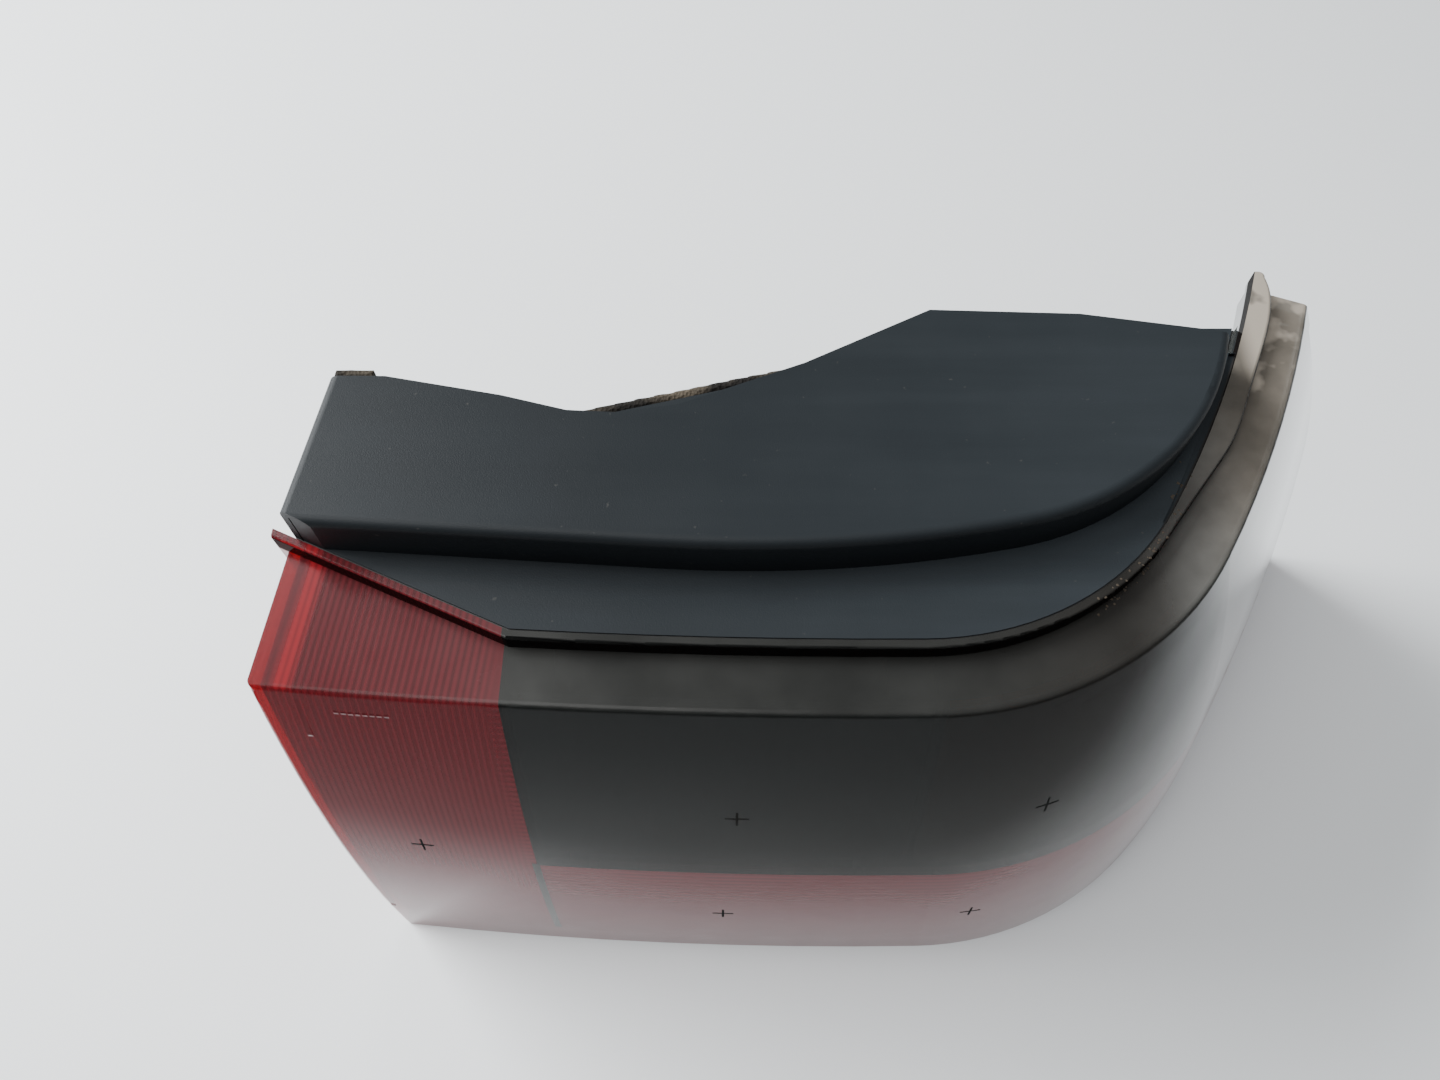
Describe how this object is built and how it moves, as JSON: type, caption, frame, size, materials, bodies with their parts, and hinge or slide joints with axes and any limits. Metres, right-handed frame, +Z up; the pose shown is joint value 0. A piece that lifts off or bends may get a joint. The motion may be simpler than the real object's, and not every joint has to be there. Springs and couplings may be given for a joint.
{
  "type": "tail light",
  "caption": "Wrap-around rear combination lamp of a car with a red and smoked lens, black housing, reflectors, removable bulb carrier, twist-in bulbs and stud mounts.",
  "frame": {"origin": "centre of the bounding box on the underside that the lamp stands on", "axes": "+X towards the wrap-around outer end, -Y the way the lens faces, +Z up"},
  "size_m": [0.3748, 0.1856, 0.182],
  "materials": {
    "red_lens": "clear red acrylic, polished, lightly scratched",
    "smoked_lens": "smoked acrylic, polished, lightly scratched",
    "amber_filter": "clear amber plastic",
    "clear_optic": "clear fluted plastic",
    "black_housing": "moulded black, dusty",
    "adhesive": "black adhesive bead",
    "grey_plastic": "moulded grey",
    "carrier_plastic": "moulded pale grey",
    "foam": "closed-cell foam",
    "plated_steel": "zinc plated",
    "brass_track": "stamped strip",
    "spring_bronze": "spring bronze",
    "connector_plastic": "moulded black",
    "terminal_tin": "tinned brass",
    "latch_plastic": "moulded pale grey",
    "stud_steel": "zinc plated, thread smoothed",
    "vent_rubber": "soft rubber",
    "bright_reflector": "vacuum metallised",
    "bulb_brass": "nickel plated brass",
    "bulb_glass": "clear glass",
    "filament": "tungsten wire"
  },
  "bodies": {
    "lamp_body": {"lens_red": "red_lens", "lens_smoke": "smoked_lens", "turn_filter": "amber_filter", "reverse_optic": "clear_optic", "housing": "black_housing", "lens_seal": "adhesive", "chamber_dividers": "grey_plastic", "body_gasket": "foam", "mounting_studs": "stud_steel", "vent_cap": "vent_rubber", "fog_reflector": "bright_reflector", "reverse_reflector": "bright_reflector", "turn_reflector": "bright_reflector", "stop_reflector": "bright_reflector", "tail_reflector": "bright_reflector"},
    "bulb_carrier": {"carrier_plate": "carrier_plastic", "carrier_seal": "foam", "bulb_sockets": "plated_steel", "ground_track": "brass_track", "feed_tracks": "brass_track", "contact_springs": "spring_bronze", "connector_socket": "connector_plastic", "connector_terminals": "terminal_tin"},
    "upper_latch": {"latch_upper": "latch_plastic"},
    "lower_latch": {"latch_lower": "latch_plastic"},
    "fog_bulb": {"fog_bulb_base": "bulb_brass", "fog_bulb_glass": "bulb_glass", "fog_bulb_filament": "filament"},
    "reverse_bulb": {"reverse_bulb_base": "bulb_brass", "reverse_bulb_glass": "bulb_glass", "reverse_bulb_filament": "filament"},
    "turn_bulb": {"turn_bulb_base": "bulb_brass", "turn_bulb_glass": "bulb_glass", "turn_bulb_filament": "filament"},
    "stop_bulb": {"stop_bulb_base": "bulb_brass", "stop_bulb_glass": "bulb_glass", "stop_bulb_filament": "filament"},
    "tail_bulb": {"tail_bulb_base": "bulb_brass", "tail_bulb_glass": "bulb_glass", "tail_bulb_filament": "filament"}
  },
  "joints": [
    {"name": "carrier_slide", "type": "slide", "parent": "lamp_body", "child": "bulb_carrier", "axis": [0, 1, 0], "range_m": [0, 0.06]},
    {"name": "upper_latch_press", "type": "hinge", "parent": "bulb_carrier", "child": "upper_latch", "pos_m": [-0.03927, 0.02236, 0.1318], "axis": [-1, 0, 0], "range_deg": [0, 12], "stiffness_Nm_per_rad": 0.05},
    {"name": "lower_latch_press", "type": "hinge", "parent": "bulb_carrier", "child": "lower_latch", "pos_m": [-0.03927, 0.02236, 0.0222], "axis": [1, 0, 0], "range_deg": [0, 12], "stiffness_Nm_per_rad": 0.05},
    {"name": "fog_bulb_twist", "type": "hinge", "parent": "bulb_carrier", "child": "fog_bulb", "pos_m": [-0.15427, 0.01736, 0.086], "axis": [0, 1, 0], "range_deg": [0, 20]},
    {"name": "reverse_bulb_twist", "type": "hinge", "parent": "bulb_carrier", "child": "reverse_bulb", "pos_m": [-0.05427, 0.01736, 0.113], "axis": [0, 1, 0], "range_deg": [0, 20]},
    {"name": "turn_bulb_twist", "type": "hinge", "parent": "bulb_carrier", "child": "turn_bulb", "pos_m": [0.03923, 0.01736, 0.112], "axis": [0, 1, 0], "range_deg": [0, 20]},
    {"name": "stop_bulb_twist", "type": "hinge", "parent": "bulb_carrier", "child": "stop_bulb", "pos_m": [-0.05827, 0.01736, 0.041], "axis": [0, 1, 0], "range_deg": [0, 20]},
    {"name": "tail_bulb_twist", "type": "hinge", "parent": "bulb_carrier", "child": "tail_bulb", "pos_m": [0.02823, 0.01736, 0.041], "axis": [0, 1, 0], "range_deg": [0, 20]}
  ]
}
